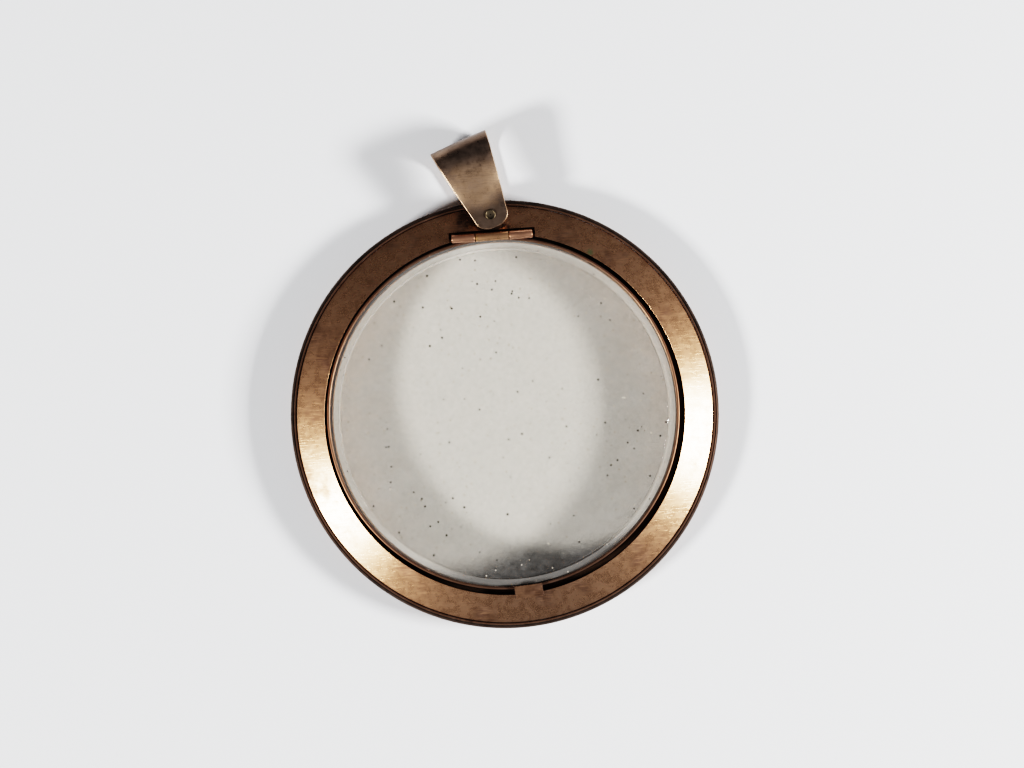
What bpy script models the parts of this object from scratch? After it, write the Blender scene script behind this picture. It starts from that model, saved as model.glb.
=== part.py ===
"""Round glass photograph locket in rose gold.

A hollow ring-shaped case, sloped to a thin rim on both sides, holds a fixed crystal
at the back and a hinged crystal door at the front. A folded strap bail straddles the
case and swings on one rivet.

Row frame: metres, +Z out of the front of the locket, +Y towards the bail. The
origin is the middle of the back crystal's flat face, on which the locket lies.
"""

import math

import bmesh
import bpy
from mathutils import Matrix

MM = 0.001
ROUND = 72  # facets of every ring that shares the case's axis
SMALL_ROUND = 24  # facets of the rivet, its bush and the hinge tubes

# ---- driving dimensions -------------------------------------------------------
CASE_R = 22.50 * MM  # outside of the rim
RIM_Z = 2.04 * MM  # middle of the rim
OPENING_R = 18.87 * MM  # hole in the face and back plates
FACE_R = 21.88 * MM  # outside of the face and back plates
FACE_TILT = math.radians(29.0)  # how far the face falls away outwards
FACE_INNER_Z = 4.15 * MM
BACK_TILT = math.radians(17.0)
BACK_Z = 0.66 * MM  # underside of the back plate at the opening
SHEET = 0.40 * MM

CRYSTAL_R = 18.22 * MM
CRYSTAL_FLAT_R = 17.25 * MM  # inside edge of the bevel
CRYSTAL_THICK = 1.10 * MM
BEVEL_DEPTH = 0.30 * MM
RETAINER_R = 18.09 * MM  # inside of the sprung rings behind the crystals
DOOR_CRYSTAL_Z = 4.09 * MM  # outer face of the door's crystal

BEZEL_R = 18.47 * MM
BEZEL_WALL = 0.22 * MM
LIP_INNER_R = 18.13 * MM
DOOR_BOTTOM_Z = 2.80 * MM
DOOR_LIP_Z = 4.07 * MM
DOOR_SHIFT = (-0.144 * MM, 0.139 * MM)  # the door sits a little off centre

SEAT_TOP_Z = 2.74 * MM
SEAT_THICK = 0.50 * MM
COLLAR_WALL = 0.33 * MM
COLLAR_TOP_Z = 3.52 * MM

PIN_Y = 18.65 * MM
PIN_Z = 4.57 * MM
PIN_R = 0.21 * MM
KNUCKLE_R = 0.42 * MM
KNUCKLE_BORE_R = 0.25 * MM
DOOR_KNUCKLE_HALF = 1.70 * MM
HINGE_HALF = 4.22 * MM
KNUCKLE_GAP = 0.13 * MM

TAB_ANGLE = math.radians(273.7)
TAB_WIDTH = 3.0 * MM

RIVET_Y = 20.96 * MM
RIVET_R = 0.36 * MM
RIVET_HEAD_R = 0.55 * MM
RIVET_CLEARANCE = 0.06 * MM
BUSH_R = 0.75 * MM
BUSH_TOP_Z = 4.02 * MM

BAIL_SWING = math.radians(20.2)  # how far the bail lies over to the left
STRAP = 0.45 * MM
STRAP_FRONT_Z = 4.285 * MM  # middle of the strap over the face
STRAP_BACK_Z = 0.32 * MM  # middle of the strap behind the case
STRAP_REACH = 8.50 * MM  # rivet to the outside of the fold
STRAP_END = 1.42 * MM  # rivet to the rounded ends
STRAP_BEND = 1.30 * MM  # rivet to the crease in the front leaf
STRAP_RISE = math.radians(11.0)  # how steeply the arched front leaf leaves the crease

GAP = 0.02 * MM  # between pieces that are soldered or pressed together


# ---- tools ---------------------------------------------------------------------
def clear_scene():
    for obj in list(bpy.data.objects):
        bpy.data.objects.remove(obj)


def new_collection(name, hidden=False):
    collection = bpy.data.collections.new(name)
    bpy.context.scene.collection.children.link(collection)
    collection.hide_render = hidden
    return collection


def principled(name, colour, metallic, roughness, transmission=0.0):
    material = bpy.data.materials.new(name)
    material.use_nodes = True
    shader = material.node_tree.nodes["Principled BSDF"]
    shader.inputs["Base Color"].default_value = (*colour, 1.0)
    shader.inputs["Metallic"].default_value = metallic
    shader.inputs["Roughness"].default_value = roughness
    shader.inputs["Transmission Weight"].default_value = transmission
    return material


def place(obj, collection, material=None, parent=None):
    """Moves obj to its own collection; its location is then read from its parent."""
    for old in list(obj.users_collection):
        old.objects.unlink(obj)
    collection.objects.link(obj)
    if material:
        obj.data.materials.append(material)
    if parent:
        obj.parent = parent
    return obj


def as_cutter(obj):
    place(obj, CUTTERS)
    obj.hide_render = True
    obj.display_type = "WIRE"
    return obj


def turned(name, profile, closed=True, steps=ROUND):
    """A body turned about Z. The profile holds (radius, height), down the outside first."""
    mesh = bpy.data.meshes.new(name)
    count = len(profile)
    edges = [(i, (i + 1) % count) for i in range(count if closed else count - 1)]
    mesh.from_pydata([(r, 0.0, z) for r, z in profile], edges, [])
    obj = bpy.data.objects.new(name, mesh)
    bpy.context.scene.collection.objects.link(obj)
    screw = obj.modifiers.new("Turn", "SCREW")
    screw.steps = screw.render_steps = steps
    screw.use_merge_vertices = True
    screw.merge_threshold = 1e-6
    screw.use_smooth_shade = True
    return obj


def hoop(name, inner, outer, low, high, steps=ROUND):
    return turned(name, [(outer, high), (outer, low), (inner, low), (inner, high)], steps=steps)


def rod_along_x(name, radius, low, high, y, z):
    bpy.ops.mesh.primitive_cylinder_add(
        vertices=SMALL_ROUND,
        radius=radius,
        depth=high - low,
        location=((low + high) / 2, y, z),
        rotation=(0.0, math.pi / 2, 0.0),
    )
    rod = bpy.context.object
    rod.name = name
    return rod


def block(name, low, high):
    """A box between two corners."""
    size = [b - a for a, b in zip(low, high)]
    bpy.ops.mesh.primitive_cube_add(size=1.0, location=[(a + b) / 2 for a, b in zip(low, high)])
    box = bpy.context.object
    box.name = name
    box.data.transform(Matrix.Diagonal((*size, 1.0)))
    return box


def combine(obj, other, operation="DIFFERENCE"):
    boolean = obj.modifiers.new(operation.title(), "BOOLEAN")
    boolean.operation = operation
    boolean.object = as_cutter(other)
    return obj


def pivot(name, location, turn=0.0):
    empty = bpy.data.objects.new(name, None)
    empty.location = location
    empty.rotation_euler = (0.0, 0.0, turn)
    LOCKET.objects.link(empty)
    return empty


def on_door(obj, material, centred=True):
    """Hangs a door piece on the hinge line; a centred one takes the door's own middle."""
    shift = DOOR_SHIFT if centred else (0.0, 0.0)
    place(obj, LOCKET, material, DOOR_PIVOT)
    obj.location.x += shift[0] - DOOR_PIVOT.location.x
    obj.location.y += shift[1] - DOOR_PIVOT.location.y
    obj.location.z -= DOOR_PIVOT.location.z
    return obj


# ---- the hollow case -----------------------------------------------------------
def face_height(radius):
    """Top of the sloping face at a distance from the case's axis."""
    return FACE_INNER_Z - (radius - OPENING_R) * math.tan(FACE_TILT)


def rivet_hole(name, radius, low=-1.0 * MM, high=8.0 * MM):
    cutter = turned(name, [(0.0, high), (radius, high), (radius, low), (0.0, low)], False, SMALL_ROUND)
    cutter.location.y = RIVET_Y
    return cutter


def build_face_plate():
    outer_z = face_height(FACE_R)
    plate = turned(
        "face_plate",
        [
            (FACE_R, outer_z),
            (FACE_R, outer_z - SHEET),
            (OPENING_R, FACE_INNER_Z - SHEET),
            (OPENING_R, FACE_INNER_Z),
        ],
    )
    combine(plate, rivet_hole("face_plate_bush_hole", BUSH_R + GAP))
    slot_low = (-HINGE_HALF - 0.28 * MM, 17.0 * MM, 3.0 * MM)
    slot_high = (HINGE_HALF + 0.28 * MM, 19.36 * MM, 5.0 * MM)
    combine(plate, block("face_plate_hinge_slot", slot_low, slot_high))
    place(plate, LOCKET, ROSE_GOLD)


def build_back_plate():
    outer_z = BACK_Z + (FACE_R - OPENING_R) * math.tan(BACK_TILT)
    plate = turned(
        "back_plate",
        [
            (FACE_R, outer_z + SHEET),
            (FACE_R, outer_z),
            (OPENING_R, BACK_Z),
            (OPENING_R, BACK_Z + SHEET),
        ],
    )
    combine(plate, rivet_hole("back_plate_bush_hole", BUSH_R + GAP))
    place(plate, LOCKET, ROSE_GOLD)


def build_rim_band():
    """Half-round edge that closes the case, with a fine bead beside the face."""
    inner = FACE_R + 2 * GAP
    profile = [
        (inner + 0.14 * MM, RIM_Z + 0.55 * MM),
        (inner + 0.21 * MM, RIM_Z + 0.50 * MM),
        (inner + 0.23 * MM, RIM_Z + 0.43 * MM),
        (CASE_R - 0.16 * MM, RIM_Z + 0.32 * MM),
        (CASE_R - 0.04 * MM, RIM_Z + 0.16 * MM),
        (CASE_R, RIM_Z),
        (CASE_R - 0.04 * MM, RIM_Z - 0.16 * MM),
        (CASE_R - 0.16 * MM, RIM_Z - 0.32 * MM),
        (CASE_R - 0.36 * MM, RIM_Z - 0.46 * MM),
        (inner, RIM_Z - 0.47 * MM),
        (inner, RIM_Z + 0.47 * MM),
        (inner + 0.05 * MM, RIM_Z + 0.54 * MM),
    ]
    place(turned("rim_band", profile), LOCKET, ROSE_GOLD)


def build_collar_and_seat():
    collar = hoop(
        "inner_collar", OPENING_R, OPENING_R + COLLAR_WALL, BACK_Z + SHEET + 0.14 * MM, COLLAR_TOP_Z
    )
    place(collar, LOCKET, ROSE_GOLD)
    seat = hoop(
        "door_seat_ring", 18.10 * MM, OPENING_R - GAP, SEAT_TOP_Z - SEAT_THICK, SEAT_TOP_Z
    )
    place(seat, LOCKET, ROSE_GOLD)


def build_back_bezel():
    """Fixed bezel: a wall inside the case, a flange over the back plate and a lip on the crystal."""
    top = 2.00 * MM
    flange_z = BACK_Z - 0.03 * MM
    inner = BEZEL_R - BEZEL_WALL
    outer = OPENING_R - 2 * GAP
    profile = [
        (outer, top),
        (outer, flange_z),
        (19.05 * MM, flange_z),
        (19.05 * MM, 0.20 * MM),
        (18.90 * MM, 0.05 * MM),
        (18.20 * MM, 0.05 * MM),
        (LIP_INNER_R, 0.09 * MM),
        (LIP_INNER_R, 0.24 * MM),
        (inner, 0.24 * MM),
        (inner, top),
    ]
    place(turned("back_bezel", profile), LOCKET, ROSE_GOLD)


def crystal(name, outer_z, inwards):
    """A bevelled glass disc. inwards is -1 below its outer face and 1 above it."""
    edge_z = outer_z + inwards * BEVEL_DEPTH
    inner_z = outer_z + inwards * CRYSTAL_THICK
    profile = [
        (0.0, outer_z),
        (CRYSTAL_FLAT_R, outer_z),
        (CRYSTAL_R, edge_z),
        (CRYSTAL_R, inner_z),
        (0.0, inner_z),
    ]
    if inwards > 0:
        profile.reverse()
    return turned(name, profile, closed=False)


def retaining_ring(name, low):
    """Thin sprung ring behind a crystal, open over a short gap at the bottom."""
    ring = hoop(name, RETAINER_R, CRYSTAL_R, low, low + 0.15 * MM)
    gap_low = (-0.5 * MM, -19.0 * MM, low - 1.0 * MM)
    gap_high = (0.5 * MM, -17.0 * MM, low + 1.0 * MM)
    return ring, block(name + "_gap", gap_low, gap_high)


def build_back_crystal():
    place(crystal("back_crystal", 0.0, 1), LOCKET, GLASS)
    ring, gap = retaining_ring("back_retaining_ring", CRYSTAL_THICK + 0.03 * MM)
    place(combine(ring, gap), LOCKET, ROSE_GOLD)


# ---- the hinged door ------------------------------------------------------------
def build_door_bezel():
    """Thin wall with a burnished lip above and a snap bead near its foot."""
    inner = BEZEL_R - BEZEL_WALL
    profile = [
        (BEZEL_R, DOOR_LIP_Z - 0.12 * MM),
        (BEZEL_R, 3.35 * MM),
        (BEZEL_R + 0.08 * MM, 3.25 * MM),
        (BEZEL_R, 3.13 * MM),
        (BEZEL_R, DOOR_BOTTOM_Z),
        (inner, DOOR_BOTTOM_Z),
        (inner, DOOR_LIP_Z - 0.23 * MM),
        (LIP_INNER_R, DOOR_LIP_Z - 0.23 * MM),
        (LIP_INNER_R, DOOR_LIP_Z - 0.12 * MM),
        (LIP_INNER_R + 0.07 * MM, DOOR_LIP_Z),
        (BEZEL_R - 0.09 * MM, DOOR_LIP_Z),
    ]
    on_door(turned("door_bezel", profile), ROSE_GOLD)


def build_door_crystal():
    on_door(crystal("door_crystal", DOOR_CRYSTAL_Z, -1), GLASS)
    ring, gap = retaining_ring("door_retaining_ring", DOOR_BOTTOM_Z + 0.02 * MM)
    gap.location.x += DOOR_SHIFT[0]
    gap.location.y += DOOR_SHIFT[1]
    on_door(combine(ring, gap), ROSE_GOLD)


def build_thumb_tab():
    """A small lip on the door that stands over the face, for a fingernail."""
    foot = DOOR_LIP_Z + GAP
    outline = [
        (18.02 * MM, foot),
        (18.36 * MM, foot),
        (18.36 * MM, foot + 0.11 * MM),
        (19.30 * MM, foot + 0.11 * MM),
        (19.34 * MM, foot + 0.22 * MM),
        (19.24 * MM, foot + 0.38 * MM),
        (18.16 * MM, foot + 0.38 * MM),
        (18.02 * MM, foot + 0.30 * MM),
    ]
    curve = bpy.data.curves.new("thumb_tab", "CURVE")
    curve.dimensions = "2D"
    curve.fill_mode = "BOTH"
    curve.extrude = TAB_WIDTH / 2
    spline = curve.splines.new("POLY")
    spline.points.add(len(outline) - 1)
    for point, (radius, height) in zip(spline.points, outline):
        point.co = (radius, height, 0.0, 1.0)
    spline.use_cyclic_u = True
    tab = bpy.data.objects.new("thumb_tab", curve)
    bpy.context.scene.collection.objects.link(tab)
    tab.rotation_euler = (math.pi / 2, 0.0, TAB_ANGLE)
    on_door(tab, ROSE_GOLD, centred=False)


def build_door_knuckle():
    """Middle tube of the hinge with the saddle that joins it to the door's lip."""
    knuckle = rod_along_x(
        "door_knuckle", KNUCKLE_R, -DOOR_KNUCKLE_HALF, DOOR_KNUCKLE_HALF, PIN_Y, PIN_Z
    )
    saddle_low = (-DOOR_KNUCKLE_HALF + 0.10 * MM, 18.28 * MM, DOOR_LIP_Z + GAP)
    saddle_high = (DOOR_KNUCKLE_HALF - 0.10 * MM, 18.70 * MM, PIN_Z - 0.28 * MM)
    combine(knuckle, block("door_knuckle_saddle", saddle_low, saddle_high), "UNION")
    bore = rod_along_x(
        "door_knuckle_bore", KNUCKLE_BORE_R, -2 * DOOR_KNUCKLE_HALF, 2 * DOOR_KNUCKLE_HALF, PIN_Y, PIN_Z
    )
    combine(knuckle, bore)
    on_door(knuckle, YELLOW_GOLD, centred=False)


# ---- hinge pieces that stay with the case ----------------------------------------
def build_case_hinge():
    near = DOOR_KNUCKLE_HALF + KNUCKLE_GAP
    for name, low, high in (
        ("case_knuckle_left", -HINGE_HALF, -near),
        ("case_knuckle_right", near, HINGE_HALF),
    ):
        knuckle = rod_along_x(name, KNUCKLE_R, low, high, PIN_Y, PIN_Z)
        bore = rod_along_x(
            name + "_bore", KNUCKLE_BORE_R, low - 1.0 * MM, high + 1.0 * MM, PIN_Y, PIN_Z
        )
        place(combine(knuckle, bore), LOCKET, ROSE_GOLD)
    pin = rod_along_x("hinge_pin", PIN_R, -HINGE_HALF, HINGE_HALF, PIN_Y, PIN_Z)
    place(pin, LOCKET, YELLOW_GOLD)
    bearer = block(
        "hinge_bearer",
        (-HINGE_HALF, 18.89 * MM, COLLAR_TOP_Z + GAP),
        (HINGE_HALF, 19.15 * MM, PIN_Z - KNUCKLE_R - 0.04 * MM),
    )
    place(bearer, LOCKET, ROSE_GOLD)


# ---- the bail -------------------------------------------------------------------
def strap_path():
    """Middle line of the strap as (reach, height), front end first, outwards positive."""
    # the front leaf arches up from the crease and is level where the fold begins
    arch = math.tan(STRAP_RISE / 2)
    length = STRAP_REACH - STRAP / 2 - STRAP_BEND
    fold_r = (STRAP_FRONT_Z - STRAP_BACK_Z + length * arch) / (2 + arch)
    centre = (STRAP_REACH - fold_r - STRAP / 2, STRAP_BACK_Z + fold_r)
    leaf_r = (centre[0] - STRAP_BEND) / math.sin(STRAP_RISE)
    front_end = [-1.0, -0.985, -0.93, -0.83, -0.66, -0.4, 0.0]
    path = [(STRAP_END * share, STRAP_FRONT_Z) for share in front_end]
    path.append((STRAP_BEND - 0.1 * MM, STRAP_FRONT_Z))
    arches = 6
    for i in range(arches):
        angle = STRAP_RISE * (0.98 - i / arches)
        top = centre[1] + fold_r
        path.append((centre[0] - leaf_r * math.sin(angle), top - leaf_r * (1 - math.cos(angle))))
    turns = 18
    for i in range(turns + 1):
        angle = math.pi / 2 - math.pi * i / turns
        path.append((centre[0] + fold_r * math.cos(angle), centre[1] + fold_r * math.sin(angle)))
    path.append((centre[0] / 2, STRAP_BACK_Z))
    path += [(STRAP_END * share, STRAP_BACK_Z) for share in reversed(front_end)]
    return path


def strap_half_width(reach):
    """Half the strap's width: a straight taper to the rivet, then a rounded end."""
    if reach >= 0.0:
        return (1.82 + 0.19 * reach / MM - 0.0033 * (reach / MM) ** 2) * MM
    share = min(1.0, (-reach / (STRAP_END + 0.01 * MM)) ** 2.4)
    return 1.82 * MM * math.sqrt(1.0 - share)


def build_bail_strap():
    path = strap_path()
    mesh = bpy.data.meshes.new("bail_strap")
    grid = bmesh.new()
    bmesh.ops.create_grid(grid, x_segments=len(path) - 1, y_segments=2, size=1.0)
    for vert in grid.verts:
        station = round((vert.co.x + 1.0) / 2 * (len(path) - 1))
        reach, height = path[station]
        vert.co = (vert.co.y * strap_half_width(reach), reach, height)
    bmesh.ops.recalc_face_normals(grid, faces=grid.faces)
    grid.to_mesh(mesh)
    grid.free()
    strap = bpy.data.objects.new("bail_strap", mesh)
    bpy.context.scene.collection.objects.link(strap)
    solid = strap.modifiers.new("Thickness", "SOLIDIFY")
    solid.thickness = STRAP
    solid.offset = 0.0
    solid.use_even_offset = True
    hole_r = RIVET_R + RIVET_CLEARANCE
    top = STRAP_FRONT_Z + STRAP
    countersink = turned(
        "bail_strap_hole",
        [(0.0, top), (hole_r, top), (hole_r, 0.38 * MM), (0.68 * MM, 0.04 * MM), (0.0, 0.04 * MM)],
        False,
        SMALL_ROUND,
    )
    countersink.location = BAIL_PIVOT.location
    place(combine(strap, countersink), LOCKET, BAIL_GOLD, BAIL_PIVOT)


def build_rivet_and_bush():
    """The bush stands between the plates and stops the rivet crushing the hollow case."""
    bush = hoop(
        "rivet_bush", RIVET_R + RIVET_CLEARANCE, BUSH_R, STRAP_BACK_Z + STRAP / 2 + 0.05 * MM, BUSH_TOP_Z,
        SMALL_ROUND,
    )
    bush.location.y = RIVET_Y
    place(bush, LOCKET, ROSE_GOLD)
    head_z = STRAP_FRONT_Z + STRAP / 2 + 0.03 * MM
    profile = [
        (0.0, head_z + 0.02 * MM),
        (0.20 * MM, head_z + 0.05 * MM),
        (0.27 * MM, head_z + 0.20 * MM),
        (RIVET_HEAD_R - 0.12 * MM, head_z + 0.20 * MM),
        (RIVET_HEAD_R, head_z + 0.08 * MM),
        (RIVET_HEAD_R, head_z),
        (RIVET_R, head_z),
        (RIVET_R, 0.33 * MM),
        (0.55 * MM, 0.12 * MM),
        (0.0, 0.12 * MM),
    ]
    rivet = turned("bail_rivet", profile, False, SMALL_ROUND)
    rivet.location.y = RIVET_Y
    place(rivet, LOCKET, YELLOW_GOLD)


clear_scene()
LOCKET = new_collection("locket")
CUTTERS = new_collection("cutters", hidden=True)

ROSE_GOLD = principled("rose_gold", (0.52, 0.27, 0.14), 1.0, 0.32)
YELLOW_GOLD = principled("yellow_gold", (0.60, 0.38, 0.17), 1.0, 0.30)
BAIL_GOLD = principled("bail_gold", (0.47, 0.29, 0.17), 1.0, 0.30)
GLASS = principled("crystal_glass", (0.93, 0.95, 0.94), 0.0, 0.03, 1.0)

DOOR_PIVOT = pivot("door_hinge_line", (0.0, PIN_Y, PIN_Z))
BAIL_PIVOT = pivot("bail_rivet_line", (0.0, RIVET_Y, 0.0), BAIL_SWING)

build_face_plate()
build_back_plate()
build_rim_band()
build_collar_and_seat()
build_back_bezel()
build_back_crystal()
build_door_bezel()
build_door_crystal()
build_thumb_tab()
build_door_knuckle()
build_case_hinge()
build_bail_strap()
build_rivet_and_bush()
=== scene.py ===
"""Finished look of a round rose-gold locket with two glasses, one in a hinged door.

The metal pieces are turned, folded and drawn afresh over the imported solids, so that
their edges are broken and their curves are round, and each surface gets its finish.
"""

import math

import bpy
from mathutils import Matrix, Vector


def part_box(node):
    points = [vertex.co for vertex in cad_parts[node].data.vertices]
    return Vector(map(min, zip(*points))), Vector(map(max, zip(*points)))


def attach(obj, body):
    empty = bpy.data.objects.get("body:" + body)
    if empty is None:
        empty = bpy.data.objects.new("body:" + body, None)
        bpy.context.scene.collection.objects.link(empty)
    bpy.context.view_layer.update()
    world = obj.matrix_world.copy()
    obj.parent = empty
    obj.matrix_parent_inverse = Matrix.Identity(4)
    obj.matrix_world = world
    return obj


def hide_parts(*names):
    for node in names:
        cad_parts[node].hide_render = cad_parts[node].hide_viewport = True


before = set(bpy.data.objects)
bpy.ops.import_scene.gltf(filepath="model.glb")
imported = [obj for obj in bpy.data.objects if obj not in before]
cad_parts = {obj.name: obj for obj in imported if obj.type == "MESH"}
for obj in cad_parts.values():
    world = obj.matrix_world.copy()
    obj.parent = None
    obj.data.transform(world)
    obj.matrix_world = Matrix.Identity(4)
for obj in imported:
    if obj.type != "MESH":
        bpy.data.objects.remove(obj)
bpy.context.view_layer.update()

MM = 0.001
ROUND = 288  # steps of everything turned on the case's axis
SMALL_ROUND = 64

# ---- sizes that the solids do not give by their boxes ---------------------------
OPENING_R = 18.87 * MM
SHEET = 0.40 * MM
LIP_INNER_R = 18.13 * MM
SEAT_INNER_R = 18.10 * MM
RETAINER_INNER_R = 18.09 * MM
RETAINER_GAP = 1.0 * MM  # where each retaining ring is split
BACK_BEZEL_WALL_R = 18.25 * MM  # inside of its wall, behind the lip
CRYSTAL_FLAT_R = 17.25 * MM
BEVEL_DEPTH = 0.30 * MM
PIN_R = 0.21 * MM
KNUCKLE_R = 0.42 * MM
KNUCKLE_BORE_R = 0.25 * MM
BUSH_R = 0.75 * MM
RIVET_R = 0.36 * MM
RIVET_HEAD_R = 0.55 * MM
RIVET_BORE_R = 0.05 * MM
RIVET_CLEARANCE = 0.06 * MM
STRAP = 0.45 * MM
STRAP_REACH = 8.48 * MM
STRAP_END = 1.41 * MM
STRAP_CREASE = 1.30 * MM
STRAP_PAD = 1.82 * MM  # half its width at the rivet
STRAP_EDGE = 0.12 * MM  # how far its edges are rounded
CROWN = 0.24 * MM  # how far the leaf's sides lie below its middle
BOW = 0.06 * MM  # how far the fold's middle stands out
BAIL_SWING = math.radians(20.2)
TAB_ANGLE = math.radians(273.7)
TAB_WIDTH = 2.98 * MM
TAB_INNER_R = 18.02 * MM
TAB_HEEL_R = 18.36 * MM
TAB_OUTER_R = 19.33 * MM
THROUGH = 6 * MM  # more than the height of anything that a hole goes through


# ---- modelling tools ------------------------------------------------------------
def deselect():
    bpy.ops.object.select_all(action="DESELECT")


def activate(piece):
    deselect()
    piece.select_set(True)
    bpy.context.view_layer.objects.active = piece


def settle(name):
    """Names the new object and puts its place into its mesh."""
    piece = bpy.context.object
    piece.name = piece.data.name = name
    bpy.ops.object.transform_apply(location=True, rotation=True, scale=True)
    return piece


def turned(name, outline):
    """A ring: a circle extruded and resized round its closed outline of (radius, height)."""
    deselect()
    radius, height = outline[0]
    bpy.ops.mesh.primitive_circle_add(vertices=ROUND, radius=radius, location=(0, 0, height))
    piece = settle(name)
    bpy.ops.object.mode_set(mode="EDIT")
    bpy.ops.mesh.select_all(action="SELECT")
    for next_radius, next_height in outline[1:] + outline[:1]:
        step = {"value": (0, 0, next_height - height)}
        bpy.ops.mesh.extrude_edges_move(TRANSFORM_OT_translate=step)
        grow = next_radius / radius
        bpy.ops.transform.resize(value=(grow, grow, 1), center_override=(0, 0, next_height))
        radius, height = next_radius, next_height
    close_up()
    return piece


def close_up():
    bpy.ops.mesh.select_all(action="SELECT")
    bpy.ops.mesh.remove_doubles(threshold=0.0005 * MM)
    bpy.ops.mesh.normals_make_consistent(inside=False)
    bpy.ops.object.mode_set(mode="OBJECT")


def apply(piece, modifier):
    activate(piece)
    bpy.ops.object.modifier_apply(modifier=modifier.name)


def soften(piece, width, segments=3, angle=28):
    """Breaks the sharp edges and shades the rest smooth."""
    bevel = piece.modifiers.new("Edges", "BEVEL")
    bevel.width = width
    bevel.segments = segments
    bevel.limit_method = "ANGLE"
    bevel.angle_limit = math.radians(angle)
    apply(piece, bevel)
    smooth(piece)


def smooth(piece, angle=32):
    """Shades smooth between its sharp edges, with its broad faces kept true."""
    activate(piece)
    bpy.ops.object.shade_smooth_by_angle(angle=math.radians(angle))
    weighted = piece.modifiers.new("Normals", "WEIGHTED_NORMAL")
    weighted.keep_sharp = True
    apply(piece, weighted)


def cut(piece, cutter):
    boolean = piece.modifiers.new("Cut", "BOOLEAN")
    boolean.object = cutter
    apply(piece, boolean)
    bpy.data.objects.remove(cutter)


def join(piece, other):
    boolean = piece.modifiers.new("Join", "BOOLEAN")
    boolean.operation = "UNION"
    boolean.object = other
    apply(piece, boolean)
    bpy.data.objects.remove(other)


def rod(name, radius, start, end, steps=SMALL_ROUND):
    """A cylinder between two points."""
    deselect()
    way = Vector(end) - Vector(start)
    bpy.ops.mesh.primitive_cylinder_add(
        vertices=steps,
        radius=radius,
        depth=way.length,
        location=(Vector(start) + Vector(end)) / 2,
        rotation=way.to_track_quat("Z", "Y").to_euler(),
    )
    return settle(name)


def block(name, low, high):
    deselect()
    low, high = Vector(low), Vector(high)
    bpy.ops.mesh.primitive_cube_add(size=1, location=(low + high) / 2, scale=high - low)
    return settle(name)


def clamp(value):
    return min(1.0, max(0.0, value))


def stands_for(piece, node, body, material):
    """Hands the piece over: what it rides on, what it replaces and what it is made of."""
    piece.data.materials.clear()
    piece.data.materials.append(material)
    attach(piece, body)
    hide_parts(node)


# ---- material tools -------------------------------------------------------------
def colour(code):
    """An sRGB hex value as linear RGBA."""
    parts = [int(code[i : i + 2], 16) / 255 for i in (0, 2, 4)]
    return (*[p / 12.92 if p <= 0.04045 else ((p + 0.055) / 1.055) ** 2.4 for p in parts], 1)


def add(tree, kind, inputs=None, **settings):
    """Adds a node, makes its settings and fills or links its inputs."""
    node = tree.nodes.new("ShaderNode" + kind)
    for name, value in settings.items():
        setattr(node, name, value)
    for name, value in (inputs or {}).items():
        if isinstance(value, bpy.types.NodeSocket):
            tree.links.new(value, node.inputs[name])
        else:
            node.inputs[name].default_value = value
    return node


def ramp(tree, source, low, high, bottom=0.0, top=1.0):
    """The source's stretch from low to high, spread over bottom to top."""
    values = {0: source, 1: low, 2: high, 3: bottom, 4: top}
    return add(tree, "MapRange", values, interpolation_type="SMOOTHSTEP").outputs[0]


def blend(tree, share, first, second):
    values = {0: share, 6: first, 7: second}
    return add(tree, "Mix", values, data_type="RGBA").outputs[2]


def maths(tree, operation, first, second=0.0):
    return add(tree, "Math", {0: first, 1: second}, operation=operation).outputs[0]


def new_material(name):
    material = bpy.data.materials.new(name)
    material.use_nodes = True
    tree = material.node_tree
    tree.nodes.clear()
    return material, tree


def scratches(tree, place, turn, gauge, length, share):
    """Fine straight scratches: noise drawn out along one direction, of which a share shows."""
    lined_up = add(
        tree,
        "Mapping",
        {
            "Vector": place,
            "Rotation": (0, 0, math.radians(turn)),
            "Scale": (1 / length, 1 / gauge, 1 / length),
        },
    ).outputs[0]
    grain = add(tree, "TexNoise", {"Vector": lined_up, "Scale": 1.0, "Detail": 2.0}).outputs[0]
    return ramp(tree, grain, 0.72 - share, 0.78 - share * 0.8)


def cloud(tree, place, size, detail=4.0, roughness=0.6):
    inputs = {"Vector": place, "Scale": 1 / size, "Detail": detail, "Roughness": roughness}
    return add(tree, "TexNoise", inputs).outputs[0]


def spot(tree, place, x, y, radius, ragged):
    """A round spot on a face that looks up, with a ragged edge."""
    flat = add(tree, "VectorMath", {0: place, 1: (1, 1, 0)}, operation="MULTIPLY").outputs[0]
    away = add(tree, "VectorMath", {0: flat, 1: (x, y, 0)}, operation="DISTANCE").outputs["Value"]
    away = maths(tree, "ADD", away, maths(tree, "MULTIPLY", ragged, radius * 1.5))
    return ramp(tree, away, radius * 1.9, radius * 1.0, 0.0, 0.8)


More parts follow.
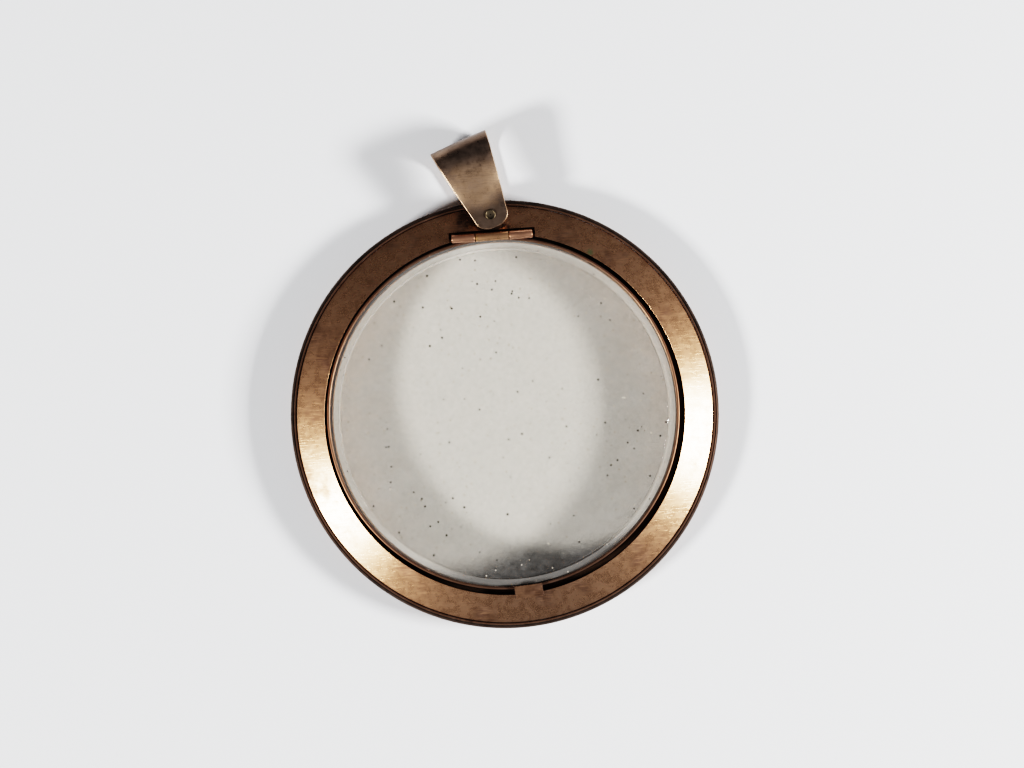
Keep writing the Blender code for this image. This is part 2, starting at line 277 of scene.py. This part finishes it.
def worn_gold(
    name, clean, tarnished, roughness, patch=5 * MM, scratch_share=0.08, tarnish=0.5, zones=()
):
    """Old low-carat gold: wear has polished it, and copper in it has tarnished in patches.

    clean and tarnished are its two colours, patch the size of a tarnished spot. A zone
    is (x, y, radius, colour, satin): a spot of painted highlight or painted shade.
    """
    material, tree = new_material(name)
    place = add(tree, "TexCoord").outputs["Object"]
    start = 0.66 - 0.3 * tarnish
    cloudy = ramp(tree, cloud(tree, place, patch, 5.0), start, start + 0.16)
    # grease and handling leave a film that is mottled at about half a millimetre
    film = cloud(tree, place, 0.9 * MM, 6.0, 0.72)
    # real scratches are finer than can be seen; these are a tenth of a millimetre wide
    lines = scratches(tree, place, 20, 0.10 * MM, 3 * MM, scratch_share)
    for turn, gauge in ((-35, 0.09 * MM), (75, 0.08 * MM), (118, 0.11 * MM)):
        more = scratches(tree, place, turn, gauge, 2 * MM, scratch_share)
        lines = maths(tree, "MAXIMUM", lines, more)
    # darkened by ambient occlusion: partly old dirt in the seams, where a fingertip cannot reach,
    # partly painted shade under the bail's pad and between parts
    occlusion = add(
        tree, "AmbientOcclusion", {"Distance": 1.2 * MM}, samples=6, only_local=False
    ).outputs["AO"]
    dirt_and_shade = ramp(tree, occlusion, 0.62, 0.18)
    metal = blend(tree, maths(tree, "MULTIPLY", cloudy, 0.8), colour(clean), colour(tarnished))
    metal = blend(tree, ramp(tree, film, 0.38, 0.76, 0.0, 0.42), metal, colour(tarnished))
    metal = blend(tree, maths(tree, "MULTIPLY", lines, 0.7), metal, colour(clean))
    spread = 0.2
    # each zone paints a spot of highlight or shade in its own colour
    for x, y, radius, code, satin in zones:
        painted_spot = spot(tree, place, x, y, radius, maths(tree, "SUBTRACT", film, 0.5))
        finish = blend(tree, ramp(tree, film, 0.4, 0.7, 0.0, 0.5), colour(code), metal)
        finish = blend(tree, maths(tree, "MULTIPLY", lines, satin), finish, colour(clean))
        metal = blend(tree, painted_spot, metal, finish)
        spread = maths(tree, "ADD", maths(tree, "MULTIPLY", painted_spot, satin), spread)
    # painted shade and dirt: occluded places are blended to near black
    metal = blend(tree, dirt_and_shade, metal, colour("1E120B"))
    rough = maths(tree, "ADD", ramp(tree, film, 0.35, 0.7, -0.03, 0.08), roughness)
    rough = maths(tree, "ADD", rough, maths(tree, "MULTIPLY", cloudy, 0.08))
    rough = maths(tree, "ADD", rough, maths(tree, "MULTIPLY", dirt_and_shade, 0.3))
    bump = add(
        tree, "Bump", {"Height": lines, "Distance": 0.005 * MM, "Strength": 0.4}, invert=True
    ).outputs[0]
    # the sheet is not quite flat: hollows a few millimetres across, a hundredth deep
    dents = cloud(tree, place, 4 * MM, 1.0)
    bump = add(
        tree, "Bump", {"Height": dents, "Distance": 0.04 * MM, "Strength": 0.7, "Normal": bump}
    ).outputs[0]
    shader = add(
        tree,
        "BsdfPrincipled",
        {"Base Color": metal, "Metallic": 1.0, "Roughness": rough, "Normal": bump},
    ).outputs[0]
    # crossing scratches too fine to see throw a wide halo round each reflection
    wide = maths(tree, "ADD", rough, 0.20)
    halo = add(
        tree,
        "BsdfPrincipled",
        {"Base Color": metal, "Metallic": 1.0, "Roughness": wide, "Normal": bump},
    ).outputs[0]
    shader = add(tree, "MixShader", {0: spread, 1: shader, 2: halo}).outputs[0]
    grime = add(tree, "BsdfDiffuse", {"Color": colour("86807C")}).outputs[0]
    share = ramp(tree, film, 0.35, 0.7, 0.05, 0.105)
    shader = add(tree, "MixShader", {0: share, 1: shader, 2: grime}).outputs[0]
    # verdigris beside the opening, and a pit that has filled with dirt
    for x, y, radius, code in ((10.1, 16.3, 0.42, "3A3F24"), (19.5, 5.5, 0.12, "1E120B")):
        crusted = {"Base Color": colour(code), "Roughness": 0.8}
        crust = add(tree, "BsdfPrincipled", crusted).outputs[0]
        share = spot(tree, place, x * MM, y * MM, radius * MM, cloud(tree, place, 0.25 * MM))
        shader = add(tree, "MixShader", {0: share, 1: shader, 2: crust}).outputs[0]
    add(tree, "OutputMaterial", {"Surface": shader})
    return material


def specks(tree, place, spacing, size, share):
    """Scattered specks, each in its own square of the glass and only in a share of them."""
    squares = {"Vector": place, "Scale": 1 / spacing}
    cells = add(tree, "TexVoronoi", squares, voronoi_dimensions="2D")
    random = add(tree, "SeparateColor", {0: cells.outputs["Color"]}).outputs
    width = ramp(tree, random[1], 0.0, 1.0, 0.35 * size / spacing, size / spacing)
    near = maths(tree, "LESS_THAN", cells.outputs["Distance"], width)
    return maths(tree, "MULTIPLY", near, maths(tree, "LESS_THAN", random[0], share))


def crystal_glass():
    """Polished crown glass: grit and lint lie on it, over a thin uneven film of dust."""
    material, tree = new_material("crystal_glass")
    place = add(tree, "TexCoord").outputs["Object"]
    # each face of each crystal has its own dust, so the pattern turns from one to the next
    height = add(tree, "SeparateXYZ", {0: place}).outputs[2]
    level = maths(tree, "ROUND", maths(tree, "DIVIDE", height, 1.4 * MM))
    turn = maths(tree, "MULTIPLY", level, 1.9)
    own = add(tree, "VectorRotate", {0: place, "Angle": turn}).outputs[0]
    glass = add(
        tree,
        "BsdfPrincipled",
        {
            "Base Color": colour("FEFEFE"),
            "Transmission Weight": 1.0,
            "IOR": 1.52,
            "Roughness": 0.0,
        },
    ).outputs[0]
    smears = cloud(tree, own, 4 * MM, 6.0, 0.65)
    film = maths(tree, "MULTIPLY", smears, cloud(tree, own, 0.6 * MM, 4.0, 0.7))
    film = ramp(tree, film, 0.15, 0.42, 0.005, 0.06)
    surface = glass
    # the bevel is ground, and was never polished as clear as the faces; it is on the side
    # of each crystal that faces out, well away from the middle height between the two
    flat_place = add(tree, "VectorMath", {0: place, 1: (1, 1, 0)}, operation="MULTIPLY").outputs[0]
    radius = add(tree, "VectorMath", {0: flat_place}, operation="LENGTH").outputs["Value"]
    gap_middle = (middle("back_crystal").z + middle("door_crystal").z) / 2
    aside = maths(tree, "ABSOLUTE", maths(tree, "SUBTRACT", height, gap_middle))
    outer = maths(tree, "GREATER_THAN", radius, CRYSTAL_FLAT_R + 0.01 * MM)
    ground = maths(tree, "MULTIPLY", outer, maths(tree, "GREATER_THAN", aside, 1.3 * MM))
    bevelled = maths(tree, "MULTIPLY", ground, 0.12)
    for cover, code in (
        (bevelled, "E4E0DA"),
        (film, "B9B8B6"),
        (specks(tree, own, 1.2 * MM, 0.09 * MM, 0.20), "A9A297"),
        (specks(tree, own, 2.1 * MM, 0.11 * MM, 0.17), "2B2620"),
    ):
        dust = add(tree, "BsdfDiffuse", {"Color": colour(code)}).outputs[0]
        surface = add(tree, "MixShader", {0: cover, 1: surface, 2: dust}).outputs[0]
    # lamps shine straight through, but the front bevel throws much of their light elsewhere
    thrown = maths(tree, "MULTIPLY", outer, maths(tree, "GREATER_THAN", height, gap_middle))
    passed = blend(tree, thrown, colour("FBFAF8"), colour("6E6E6C"))
    straight = add(tree, "BsdfTransparent", {"Color": passed}).outputs[0]
    path = add(tree, "LightPath").outputs
    lighting = maths(tree, "MAXIMUM", path["Is Shadow Ray"], path["Is Diffuse Ray"])
    surface = add(tree, "MixShader", {0: lighting, 1: surface, 2: straight}).outputs[0]
    add(tree, "OutputMaterial", {"Surface": surface})
    return material


# ---- the case -------------------------------------------------------------------
def make_face_plate():
    low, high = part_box("face_plate")
    outer_z = low.z + SHEET
    roll = 0.05 * MM
    plate = turned(
        "face_plate_sheet",
        [
            (high.x, outer_z - roll),
            (high.x, low.z),
            (OPENING_R, high.z - SHEET),
            (OPENING_R, high.z),
            (high.x - roll * 2, outer_z + roll),
        ],
    )
    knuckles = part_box("case_knuckle_left")[0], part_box("case_knuckle_right")[1]
    side = 0.28 * MM
    slot_low = (knuckles[0].x - side, knuckles[0].y - 1.3 * MM, low.z)
    slot_high = (knuckles[1].x + side, knuckles[1].y + 0.29 * MM, high.z + MM)
    cut(plate, block("slot_cutter", slot_low, slot_high))
    cut_bush_hole(plate)
    soften(plate, 0.035 * MM)
    stands_for(plate, "face_plate", "case", ROSE_GOLD)


def cut_bush_hole(plate):
    x, y, _ = middle("bail_rivet")
    cut(plate, rod("bush_cutter", BUSH_R + 0.02 * MM, (x, y, 0), (x, y, THROUGH)))


def middle(node):
    low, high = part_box(node)
    return (low + high) / 2


def make_back_plate():
    low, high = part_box("back_plate")
    outer_z = high.z - SHEET
    plate = turned(
        "back_plate_sheet",
        [(high.x, high.z), (high.x, outer_z), (OPENING_R, low.z), (OPENING_R, low.z + SHEET)],
    )
    cut_bush_hole(plate)
    soften(plate, 0.035 * MM)
    stands_for(plate, "back_plate", "case", ROSE_GOLD)


def make_rim():
    """Half-round wire, drawn with a bead and a groove along its front edge."""
    low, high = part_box("rim_band")
    edge = high.x
    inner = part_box("face_plate")[1].x + 0.04 * MM
    height = middle("rim_band").z - 0.04 * MM
    outline = [
        (inner, height + 0.47 * MM),
        (inner + 0.03 * MM, high.z - 0.02 * MM),
        (inner + 0.09 * MM, high.z),
        (inner + 0.16 * MM, high.z - 0.01 * MM),
        (inner + 0.20 * MM, high.z - 0.06 * MM),
        (inner + 0.22 * MM, high.z - 0.13 * MM),
    ]
    turns = 14
    for i in range(turns + 1):
        angle = math.radians(62 - 128 * i / turns)
        outline.append(
            (edge - 0.42 * MM * (1 - math.cos(angle)), height + 0.50 * MM * math.sin(angle))
        )
    outline += [(inner + 0.1 * MM, low.z), (inner, low.z + 0.02 * MM)]
    rim = turned("rim_wire", outline)
    smooth(rim, 40)
    stands_for(rim, "rim_band", "case", COPPERY_GOLD)
    # the bead keeps the coppery colour; the rest of the wire is much darker
    rim.data.materials.append(DARK_GOLD)
    for face in rim.data.polygons:
        face.material_index = int(math.hypot(*face.center[:2]) > inner + 0.21 * MM)


def make_hoops():
    """The plain hoops inside the case: collar, door seat and the two retaining rings."""
    for node, body, inner in (
        ("inner_collar", "case", OPENING_R),
        ("door_seat_ring", "case", SEAT_INNER_R),
    ):
        low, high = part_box(node)
        hoop = turned(node + "_hoop", square_section(high.x, inner, low, high))
        soften(hoop, 0.04 * MM)
        stands_for(hoop, node, body, ROSE_GOLD)
    for node, body in (("back_retaining_ring", "case"), ("door_retaining_ring", "door")):
        low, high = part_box(node)
        centre = middle(node)
        outer = (high.x - low.x) / 2
        ring = turned(node + "_wire", square_section(outer, RETAINER_INNER_R, low, high))
        gap_low = (-RETAINER_GAP / 2, -OPENING_R, low.z - MM)
        cut(ring, block("gap_cutter", gap_low, (RETAINER_GAP / 2, -17 * MM, high.z + MM)))
        soften(ring, 0.02 * MM, 2)
        shift(ring, centre)
        stands_for(ring, node, body, ROSE_GOLD)


def square_section(outer, inner, low, high):
    return [(outer, high.z), (outer, low.z), (inner, low.z), (inner, high.z)]


def shift(piece, centre):
    """Moves a turned piece off the case's axis, to the middle of its node."""
    for vertex in piece.data.vertices:
        vertex.co.x += centre.x
        vertex.co.y += centre.y


def make_back_bezel():
    low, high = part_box("back_bezel")
    outer = OPENING_R - 0.04 * MM
    inner = BACK_BEZEL_WALL_R
    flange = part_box("back_plate")[0].z - 0.03 * MM
    bezel = turned(
        "back_bezel_ring",
        [
            (outer, high.z),
            (outer, flange),
            (high.x, flange),
            (high.x, low.z + 0.13 * MM),
            (high.x - 0.05 * MM, low.z + 0.05 * MM),
            (high.x - 0.15 * MM, low.z),
            (LIP_INNER_R + 0.10 * MM, low.z),
            (LIP_INNER_R + 0.02 * MM, low.z + 0.03 * MM),
            (LIP_INNER_R, low.z + 0.09 * MM),
            (LIP_INNER_R, low.z + 0.19 * MM),
            (inner, low.z + 0.19 * MM),
            (inner, high.z),
        ],
    )
    smooth(bezel, 40)
    stands_for(bezel, "back_bezel", "case", ROSE_GOLD)


def make_crystal(node, body, up):
    """A glass disc, meant to have a bevel round its outer face; up is 1 or -1.

    Known fault: the extrude takes the whole disc and not only its outer face, so the
    glass is two overlapping closed shells, one of them inside out.
    """
    low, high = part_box(node)
    centre = middle(node)
    radius = (high.x - low.x) / 2
    outer_z, inner_z = (high.z, low.z) if up > 0 else (low.z, high.z)
    bevel_z = outer_z - up * BEVEL_DEPTH
    deselect()
    bpy.ops.mesh.primitive_cylinder_add(
        vertices=ROUND,
        radius=radius,
        depth=abs(bevel_z - inner_z),
        location=(0, 0, (bevel_z + inner_z) / 2),
    )
    disc = settle(node + "_glass")
    for face in disc.data.polygons:
        face.select = face.normal.z * up > 0.9
    bpy.ops.object.mode_set(mode="EDIT")
    bpy.ops.mesh.select_mode(type="FACE")
    step = {"value": (0, 0, outer_z - bevel_z)}
    bpy.ops.mesh.extrude_region_move(TRANSFORM_OT_translate=step)
    shrink = CRYSTAL_FLAT_R / radius
    bpy.ops.transform.resize(value=(shrink, shrink, 1), center_override=(0, 0, outer_z))
    bpy.ops.mesh.select_mode(type="VERT")
    bpy.ops.object.mode_set(mode="OBJECT")
    soften(disc, 0.02 * MM, 2, 40)
    smooth(disc, 10)
    shift(disc, centre)
    stands_for(disc, node, body, GLASS)


# ---- the door -------------------------------------------------------------------
def make_door_bezel():
    low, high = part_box("door_bezel")
    centre = middle("door_bezel")
    outer = (high.x - low.x) / 2 - 0.08 * MM
    inner = outer - 0.22 * MM
    top = high.z
    outline = [
        (outer, top - 0.12 * MM),
        (outer, low.z + 0.48 * MM),
        (outer + 0.055 * MM, low.z + 0.44 * MM),
        (outer + 0.08 * MM, low.z + 0.38 * MM),
        (outer + 0.055 * MM, low.z + 0.32 * MM),
        (outer, low.z + 0.28 * MM),
        (outer, low.z),
        (inner, low.z),
        (inner, top - 0.23 * MM),
        (LIP_INNER_R, top - 0.23 * MM),
        (LIP_INNER_R, top - 0.15 * MM),
        (LIP_INNER_R + 0.03 * MM, top - 0.07 * MM),
        (LIP_INNER_R + 0.09 * MM, top - 0.015 * MM),
        (LIP_INNER_R + 0.16 * MM, top),
        (outer - 0.10 * MM, top - 0.01 * MM),
        (outer - 0.03 * MM, top - 0.05 * MM),
    ]
    bezel = turned("door_bezel_ring", outline)
    smooth(bezel, 45)
    shift(bezel, centre)
    stands_for(bezel, "door_bezel", "door", COPPERY_GOLD)


def make_thumb_tab():
    """A nail tab filed from the bezel: a strip with its end turned down and its corners off."""
    low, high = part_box("thumb_tab")
    foot = low.z
    inner, outer, side = TAB_INNER_R, TAB_OUTER_R, TAB_WIDTH / 2
    tab = block("thumb_tab_strip", (inner, -side, foot + 0.11 * MM), (outer, side, high.z))
    heel = block("tab_heel", (inner, -side, foot), (TAB_HEEL_R, side, foot + 0.2 * MM))
    join(tab, heel)
    soften(tab, 0.05 * MM, 3)
    sides = [abs(face.center.y) > side - 0.045 * MM for face in tab.data.polygons]
    turn = math.cos(TAB_ANGLE), math.sin(TAB_ANGLE)
    for vertex in tab.data.vertices:
        x, y, z = vertex.co
        # it follows the bezel's curve and is filed thinner towards its tip
        x = math.sqrt(max(x * x - y * y, 0.0)) if x > inner else x
        z -= max(0.0, z - foot - 0.12 * MM) * 0.75 * clamp((x - inner) / (outer - inner))
        vertex.co = (x * turn[0] - y * turn[1], x * turn[1] + y * turn[0], z)
    stands_for(tab, "thumb_tab", "door", ROSE_GOLD)
    # painted shade: the tab's sides are darkened so that they do not catch the lamps
    tab.data.materials.append(DARK_GOLD)
    for face, shaded_side in zip(tab.data.polygons, sides):
        face.material_index = int(shaded_side)


# ---- the hinge ------------------------------------------------------------------
def make_knuckle(node, body, material, saddle=False):
    """A tube of rolled sheet. The door's one stands on a saddle on the bezel."""
    low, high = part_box(node)
    pin = middle("hinge_pin")
    tube = rod(node + "_tube", KNUCKLE_R, (low.x, pin.y, pin.z), (high.x, pin.y, pin.z))
    if saddle:
        saddle_low = (low.x + 0.1 * MM, 18.28 * MM, low.z)
        saddle_high = (high.x - 0.1 * MM, 18.70 * MM, pin.z - 0.28 * MM)
        join(tube, block("saddle", saddle_low, saddle_high))
    bore = (low.x - MM, pin.y, pin.z), (high.x + MM, pin.y, pin.z)
    cut(tube, rod("bore_cutter", KNUCKLE_BORE_R, *bore))
    soften(tube, 0.045 * MM, 3)
    stands_for(tube, node, body, material)


def make_hinge():
    make_knuckle("case_knuckle_left", "case", KNUCKLE_GOLD)
    make_knuckle("case_knuckle_right", "case", KNUCKLE_GOLD)
    make_knuckle("door_knuckle", "door", YELLOW_GOLD, saddle=True)
    low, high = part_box("hinge_pin")
    centre = middle("hinge_pin")
    ends = (low.x, centre.y, centre.z), (high.x, centre.y, centre.z)
    pin = rod("hinge_pin_wire", PIN_R, *ends, 32)
    soften(pin, 0.07 * MM, 3)
    stands_for(pin, "hinge_pin", "case", YELLOW_GOLD)
    low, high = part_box("hinge_bearer")
    bearer = block("hinge_bearer_strip", low, high)
    soften(bearer, 0.03 * MM)
    stands_for(bearer, "hinge_bearer", "case", ROSE_GOLD)


# ---- the bail -------------------------------------------------------------------
def strap_line():
    """Middle line of the strap as (reach, height), from the front end round to the back."""
    low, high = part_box("bail_strap")
    back_z = low.z + STRAP / 2
    fold_r = (high.z - low.z - STRAP) / 2
    front_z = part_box("bail_rivet")[1].z - 0.23 * MM - STRAP / 2
    centre = (STRAP_REACH - fold_r - STRAP / 2, back_z + fold_r)
    top = centre[1] + fold_r
    # the front leaf arches up from the crease and is level where the fold begins
    length = centre[0] - STRAP_CREASE
    rise = 2 * math.atan((top - front_z) / length)
    leaf_r = length / math.sin(rise)
    ends = [-STRAP_END * math.cos(math.radians(a)) for a in (0, 26, 38, 50, 62, 74, 84)]
    line = [(reach, front_z) for reach in ends]
    line += [(0.4 * MM, front_z), (0.8 * MM, front_z)]
    line.append((STRAP_CREASE - 0.1 * MM, front_z + 0.002 * MM))
    arches = 14
    for i in range(arches):
        angle = rise * (0.985 - i / arches)
        line.append((centre[0] - leaf_r * math.sin(angle), top - leaf_r * (1 - math.cos(angle))))
    turns = 56
    for i in range(turns + 1):
        angle = math.pi / 2 - math.pi * i / turns
        line.append((centre[0] + fold_r * math.cos(angle), centre[1] + fold_r * math.sin(angle)))
    line += [(centre[0] * k / 4, back_z) for k in (3, 2, 1)]
    line += [(reach, back_z) for reach in reversed(ends)]
    return line


def strap_half_width(reach):
    """Half the strip's width: a taper to the rivet, then a rounded end."""
    if reach >= 0.0:
        return STRAP_PAD + 0.19 * reach - 0.0035 * reach**2 / MM
    share = min(1.0, (-reach / (STRAP_END + 0.06 * MM)) ** 2.4)
    return STRAP_PAD * math.sqrt(1.0 - share)


def at_strap_edge(across, reach):
    """Whether a point of the strip lies in the broken edge of its outline."""
    return abs(across) > strap_half_width(reach - 0.10 * MM) - 0.08 * MM


def make_bail_strap():
    """A strip drawn out along its fold from its front end, then given its thickness."""
    line = strap_line()
    reach, height = line[0]
    width = strap_half_width(reach)
    deselect()
    bpy.ops.mesh.primitive_plane_add(size=2, location=(0, reach, height))
    strap = settle("bail_strap_sheet")
    bpy.ops.object.mode_set(mode="EDIT")
    bpy.ops.mesh.select_all(action="SELECT")
    bpy.ops.transform.resize(value=(width, 0, 1), center_override=(0, reach, height))
    bpy.ops.mesh.remove_doubles(threshold=0.0005 * MM)
    bpy.ops.mesh.subdivide(number_cuts=7)
    for next_reach, next_height in line[1:]:
        step = {"value": (0, next_reach - reach, next_height - height)}
        bpy.ops.mesh.extrude_edges_move(TRANSFORM_OT_translate=step)
        grow = strap_half_width(next_reach) / width
        middle_point = (0, next_reach, next_height)
        bpy.ops.transform.resize(value=(grow, 1, 1), center_override=middle_point)
        reach, height, width = next_reach, next_height, strap_half_width(next_reach)
    bpy.ops.mesh.select_all(action="SELECT")
    bpy.ops.mesh.normals_make_consistent(inside=False)
    bpy.ops.object.mode_set(mode="OBJECT")
    solid = strap.modifiers.new("Thickness", "SOLIDIFY")
    solid.thickness = STRAP
    solid.offset = 0
    solid.use_even_offset = True
    apply(strap, solid)
    soften(strap, STRAP_EDGE, 4, 40)
    hole = rod("hole_cutter", RIVET_R + RIVET_CLEARANCE, (0, 0, -MM), (0, 0, 8 * MM), 48)
    cut(strap, hole)
    smooth(strap, 40)
    rivet = middle("bail_rivet")
    swing = math.cos(BAIL_SWING), math.sin(BAIL_SWING)
    low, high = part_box("bail_strap")
    edges = [at_strap_edge(*face.center[:2]) for face in strap.data.polygons]
    for vertex in strap.data.vertices:
        x, y, z = vertex.co
        # the front leaf is crowned across its width, and the fold with it
        across = (x / strap_half_width(max(y, 0.0))) ** 2
        crowned = clamp((y - STRAP_CREASE) / (1.5 * MM)) * clamp((z - low.z - 0.5 * MM) / (3 * MM))
        z -= CROWN * across * crowned
        y -= BOW * across * clamp((y - 5 * MM) / (3 * MM))
        vertex.co = (x * swing[0] - y * swing[1], x * swing[1] + y * swing[0] + rivet.y, z)
    stands_for(strap, "bail_strap", "bail", BAIL_GOLD)
    # the strip's long edges get a lighter colour: partly handling wear, partly a painted highlight
    # where they catch the lamps
    strap.data.materials.append(EDGE_GOLD)
    for face, bright in zip(strap.data.polygons, edges):
        face.material_index = int(bright)


def make_rivet():
    """A tube rivet: its front end is spread over the strap and its bore is left open."""
    low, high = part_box("bail_rivet")
    centre = middle("bail_rivet")
    head = high.z - 0.20 * MM
    outline = [
        (RIVET_HEAD_R, head + 0.05 * MM),
        (RIVET_HEAD_R, head),
        (RIVET_R, head),
        (RIVET_R, low.z + 0.21 * MM),
        (RIVET_HEAD_R, low.z),
        (RIVET_BORE_R, low.z),
        (RIVET_BORE_R, head - 0.02 * MM),
        (0.30 * MM, head - 0.01 * MM),
        (0.41 * MM, head + 0.03 * MM),
        (0.44 * MM, head + 0.09 * MM),
        (0.48 * MM, head + 0.11 * MM),
        (0.52 * MM, head + 0.09 * MM),
    ]
    rivet = turned("bail_rivet_tube", outline)
    activate(rivet)
    bpy.ops.object.mode_set(mode="EDIT")
    close_up()
    smooth(rivet, 40)
    shift(rivet, centre)
    stands_for(rivet, "bail_rivet", "case", OLIVE_GOLD)
    low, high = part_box("rivet_bush")
    bore = RIVET_R + RIVET_CLEARANCE
    bush = turned("rivet_bush_tube", square_section(BUSH_R, bore, low, high))
    soften(bush, 0.04 * MM)
    shift(bush, centre)
    stands_for(bush, "rivet_bush", "case", ROSE_GOLD)


# ---- the studio -----------------------------------------------------------------
LOCKET_TURN = math.radians(4.1)  # how far the locket is turned in the view
VIEW_WIDTH = 107.4 * MM
VIEW_HEIGHT_OVER = 0.42
VIEW_MIDDLE = (0.98 * MM, 3.13 * MM)
CAMERA_FILM = 36  # millimetres wide


def make_camera():
    data = bpy.data.cameras.new("camera")
    data.sensor_width = CAMERA_FILM
    data.lens = CAMERA_FILM * VIEW_HEIGHT_OVER / VIEW_WIDTH
    data.clip_start = 0.01
    camera = bpy.data.objects.new("camera", data)
    camera.location = (*VIEW_MIDDLE, VIEW_HEIGHT_OVER + 3 * MM)
    camera.rotation_euler = (0, 0, -LOCKET_TURN)
    bpy.context.scene.collection.objects.link(camera)
    bpy.context.scene.camera = camera


def make_lamp(name, azimuth, elevation, width, height, power, away):
    """A soft box that looks at the locket; its azimuth is in degrees from the view's right."""
    data = bpy.data.lights.new(name, "AREA")
    data.shape = "RECTANGLE"
    data.size = width
    data.size_y = height
    data.energy = power
    lamp = bpy.data.objects.new(name, data)
    around = math.radians(azimuth) - LOCKET_TURN
    up = math.radians(elevation)
    lamp.location = (
        away * math.cos(up) * math.cos(around),
        away * math.cos(up) * math.sin(around),
        away * math.sin(up),
    )
    lamp.rotation_euler = lamp.location.to_track_quat("Z", "Y").to_euler()
    bpy.context.scene.collection.objects.link(lamp)


def make_studio():
    make_lamp("soft_box_left", 210.5, 29.5, width=0.17, height=0.10, power=7.8, away=0.8)
    make_lamp("soft_box_right", -7, 25.5, width=0.136, height=0.075, power=3.9, away=0.48)
    world = bpy.data.worlds.new("room")
    bpy.context.scene.world = world
    world.use_nodes = True
    background = world.node_tree.nodes["Background"].inputs
    background["Color"].default_value = (0.095, 0.095, 0.098, 1)
    background["Strength"].default_value = 1.0
    deselect()
    bpy.ops.mesh.primitive_plane_add(size=4, location=(0, 0, -0.03 * MM))
    floor = settle("table_top")
    material, tree = new_material("white_card")
    matt = {"Base Color": colour("EDEEF0"), "Roughness": 0.7}
    card = add(tree, "BsdfPrincipled", matt).outputs[0]
    add(tree, "OutputMaterial", {"Surface": card})
    floor.data.materials.append(material)


# low-carat gold with much copper in it: rosy and soft-shining, brown where it is tarnished
ROSE_GOLD = worn_gold(
    "rose_gold",
    "C69976",
    "775845",
    0.27,
    scratch_share=0.10,
    # painted shade: dark spots beside the bail's pad, where its shadow falls and a stray glint is
    # dimmed
    zones=(
        (-2.55 * MM, 20.9 * MM, 0.75 * MM, "24170F", 0.0),
        (1.45 * MM, 19.55 * MM, 0.30 * MM, "1E120B", 0.0),
    ),
)
# the same gold made dark, with a dull shine: on the rim's outer slope, and as painted shade on the
# tab's sides
DARK_GOLD = worn_gold("dark_gold", "44332A", "1C130E", 0.42, patch=3 * MM, tarnish=0.6)
# thinly tarnished, as on edges that fingers pass over: brown copper
COPPERY_GOLD = worn_gold("coppery_gold", "80604C", "4E392D", 0.38, patch=2 * MM, tarnish=0.3)
# drawn hinge tube: finer and brighter than the sheet
KNUCKLE_GOLD = worn_gold("knuckle_gold", "DDA98A", "9A6A50", 0.30, patch=1 * MM, tarnish=0.3)
# the door's tube and the pin are of a yellower alloy with less copper
YELLOW_GOLD = worn_gold("yellow_gold", "E0B088", "B08450", 0.30, patch=1 * MM, tarnish=0.4)
# the rivet: grease and verdigris have turned it olive
OLIVE_GOLD = worn_gold("olive_gold", "5E5342", "2C251B", 0.42, patch=1 * MM, tarnish=0.5)
# strip of a paler alloy, tarnished grey-brown
BAIL_GOLD = worn_gold(
    "bail_gold",
    "937C6B",
    "4E4038",
    0.30,
    patch=2.5 * MM,
    scratch_share=0.13,
    tarnish=0.4,
    # painted highlight: a lighter, satin patch on the leaf where the lamps reflect; painted shade:
    # the bend made dark, where it faces the dark room
    zones=(
        (-1.3 * MM, 24.3 * MM, 1.8 * MM, "CBAA8C", 0.45),
        (-1.8 * MM, 28.5 * MM, 1.75 * MM, "65554A", 0.0),
    ),
)
# a lighter colour for the strip's edges: partly clean metal where handling rubs, partly a painted
# highlight
EDGE_GOLD = worn_gold("edge_gold", "B99A80", "75604F", 0.32, patch=1 * MM, tarnish=0.45)
GLASS = crystal_glass()

make_face_plate()
make_back_plate()
make_rim()
make_hoops()
make_back_bezel()
make_crystal("back_crystal", "case", -1)
make_crystal("door_crystal", "door", 1)
make_door_bezel()
make_thumb_tab()
make_hinge()
make_bail_strap()
make_rivet()
make_studio()
make_camera()
bpy.context.scene.view_settings.view_transform = "Filmic"
bpy.context.scene.view_settings.look = "Very High Contrast"
